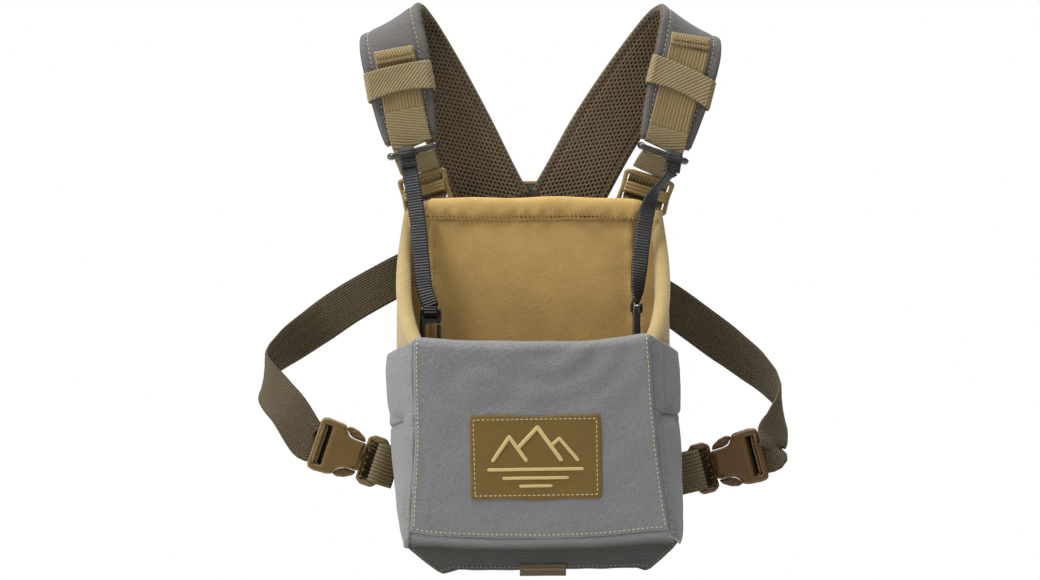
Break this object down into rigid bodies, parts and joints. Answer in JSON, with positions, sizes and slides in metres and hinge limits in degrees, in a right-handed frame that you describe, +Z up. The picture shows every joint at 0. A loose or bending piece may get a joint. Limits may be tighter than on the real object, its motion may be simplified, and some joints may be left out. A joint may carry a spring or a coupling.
{
  "type": "binocular harness pack",
  "caption": "Chest-worn padded pouch that holds a binocular, with a fold-over lid, shoulder and side straps, side-release buckles and clip tethers.",
  "frame": {"origin": "centre of the chest pad's flat face, which lies against the wearer", "axes": "+Z up, +Y into the wearer's chest, +X to the right as seen from in front of the wearer"},
  "size_m": [0.3269, 0.1122, 0.3563],
  "materials": {
    "softshell_gray": "matte knitted softshell, heathered gray",
    "tan_lining": "brushed tan microfibre lining",
    "tan_twill": "tan twill outer cloth over foam",
    "spacer_mesh": "brown spacer mesh with oval holes",
    "tan_webbing": "tan ribbed webbing",
    "brown_webbing": "dark brown ribbed webbing",
    "black_tape": "black ribbed tape",
    "black_plastic": "black moulded acetal, semi gloss",
    "coyote_plastic": "coyote brown moulded acetal, satin",
    "tan_plastic": "tan moulded acetal, satin",
    "patch_twill": "ochre twill patch with pale thread",
    "magnet_steel": "plated steel"
  },
  "bodies": {
    "pack": {"back_panel": "tan_twill", "chest_pad": "spacer_mesh", "back_lining": "tan_lining", "top_roll": "tan_twill", "roll_keeper_strip": "magnet_steel", "side_wall_left": "tan_twill", "side_wall_right": "tan_twill", "front_wall": "tan_twill", "front_rim": "tan_twill", "bottom_panel": "tan_twill", "ladder_lock_left": "tan_plastic", "ladder_lock_right": "tan_plastic", "anchor_web_left": "tan_webbing", "anchor_web_right": "tan_webbing", "adjust_web_left": "tan_webbing", "adjust_web_right": "tan_webbing", "shoulder_pad_left": "softshell_gray", "shoulder_pad_right": "softshell_gray", "shoulder_mesh_left": "spacer_mesh", "shoulder_mesh_right": "spacer_mesh", "shoulder_web_left": "tan_webbing", "shoulder_web_right": "tan_webbing", "bartack_strip_left": "tan_webbing", "bartack_strip_right": "tan_webbing", "keeper_left": "tan_webbing", "keeper_right": "tan_webbing", "tether_ring_left": "black_plastic", "tether_ring_right": "black_plastic", "side_strap_left": "brown_webbing", "side_strap_right": "brown_webbing", "stub_web_left": "brown_webbing", "stub_web_right": "brown_webbing", "buckle_latch_left": "coyote_plastic", "buckle_latch_right": "coyote_plastic", "back_yoke": "softshell_gray"},
    "lid": {"lid_panel": "softshell_gray", "patch": "patch_twill"},
    "lid_end": {"lid_end_flap": "softshell_gray", "pull_tab": "brown_webbing", "lid_magnet_left": "magnet_steel", "lid_magnet_right": "magnet_steel"},
    "lid_side_left": {"lid_wing_left": "softshell_gray"},
    "lid_side_right": {"lid_wing_right": "softshell_gray"},
    "buckle_left": {"buckle_body_left": "coyote_plastic"},
    "prong_up_left": {"prong_upper_left": "coyote_plastic"},
    "prong_low_left": {"prong_lower_left": "coyote_plastic"},
    "tether_left": {"tether_loop_left": "black_tape", "tether_left": "black_tape", "clip_left": "black_plastic"},
    "gate_left": {"clip_gate_left": "black_plastic"},
    "buckle_right": {"buckle_body_right": "coyote_plastic"},
    "prong_up_right": {"prong_upper_right": "coyote_plastic"},
    "prong_low_right": {"prong_lower_right": "coyote_plastic"},
    "tether_right": {"tether_loop_right": "black_tape", "tether_right": "black_tape", "clip_right": "black_plastic"},
    "gate_right": {"clip_gate_right": "black_plastic"}
  },
  "joints": [
    {"name": "lid_hinge", "type": "hinge", "parent": "pack", "child": "lid", "pos_m": [0, -0.076, 0.026], "axis": [-1, 0, 0], "range_deg": [0, 202]},
    {"name": "lid_end_fold", "type": "hinge", "parent": "lid", "child": "lid_end", "pos_m": [0, -0.08, -0.0963], "axis": [-1, 0, 0], "range_deg": [0, 200]},
    {"name": "lid_side_fold_left", "type": "hinge", "parent": "lid", "child": "lid_side_left", "pos_m": [-0.072, -0.0781, 0.0244], "axis": [0.0588, 0, 0.9983], "range_deg": [0, 113]},
    {"name": "lid_side_fold_right", "type": "hinge", "parent": "lid", "child": "lid_side_right", "pos_m": [0.072, -0.0781, 0.0244], "axis": [0.0588, 0, -0.9983], "range_deg": [0, 113]},
    {"name": "buckle_slide_left", "type": "slide", "parent": "pack", "child": "buckle_left", "axis": [-0.9477, 0, 0.3192], "range_m": [0, 0.03], "deforming": ["side_strap_left", "prong_upper_left", "prong_lower_left"]},
    {"name": "prong_up_squeeze_left", "type": "hinge", "parent": "pack", "child": "prong_up_left", "pos_m": [-0.10197, -0.034, -0.03666], "axis": [0, -1, 0], "range_deg": [0, 12], "stiffness_Nm_per_rad": 0.4},
    {"name": "prong_low_squeeze_left", "type": "hinge", "parent": "pack", "child": "prong_low_left", "pos_m": [-0.10854, -0.034, -0.05618], "axis": [0, 1, 0], "range_deg": [0, 12], "stiffness_Nm_per_rad": 0.4},
    {"name": "buckle_slide_right", "type": "slide", "parent": "pack", "child": "buckle_right", "axis": [0.9686, 0, 0.2486], "range_m": [0, 0.03], "deforming": ["side_strap_right", "prong_upper_right", "prong_lower_right"]},
    {"name": "prong_up_squeeze_right", "type": "hinge", "parent": "pack", "child": "prong_up_right", "pos_m": [0.10881, -0.034, -0.04135], "axis": [0, 1, 0], "range_deg": [0, 12], "stiffness_Nm_per_rad": 0.4},
    {"name": "prong_low_squeeze_right", "type": "hinge", "parent": "pack", "child": "prong_low_right", "pos_m": [0.11393, -0.034, -0.0613], "axis": [0, -1, 0], "range_deg": [0, 12], "stiffness_Nm_per_rad": 0.4},
    {"name": "tether_swing_left", "type": "hinge", "parent": "pack", "child": "tether_left", "pos_m": [-0.0738, -0.01405, 0.1412], "axis": [0.9673, 0, 0.2538], "range_deg": [-60, 0]},
    {"name": "gate_press_left", "type": "hinge", "parent": "tether_left", "child": "gate_left", "pos_m": [-0.0576, -0.0344, 0.0346], "axis": [0, 1, 0], "range_deg": [0, 20], "stiffness_Nm_per_rad": 0.05},
    {"name": "tether_swing_right", "type": "hinge", "parent": "pack", "child": "tether_right", "pos_m": [0.0801, -0.01405, 0.1397], "axis": [0.9409, 0, -0.3387], "range_deg": [-60, 0]},
    {"name": "gate_press_right", "type": "hinge", "parent": "tether_right", "child": "gate_right", "pos_m": [0.0632, -0.0288, 0.0366], "axis": [-1, 0, 0], "range_deg": [0, 20], "stiffness_Nm_per_rad": 0.05}
  ],
  "couplings": [
    {"joint": "lid_end_fold", "follows": "lid_hinge", "ratio": 0.99},
    {"joint": "lid_side_fold_left", "follows": "lid_hinge", "ratio": 0.5593},
    {"joint": "lid_side_fold_right", "follows": "lid_hinge", "ratio": 0.5593},
    {"joint": "prong_low_squeeze_left", "follows": "prong_up_squeeze_left", "ratio": 1},
    {"joint": "prong_low_squeeze_right", "follows": "prong_up_squeeze_right", "ratio": 1}
  ]
}
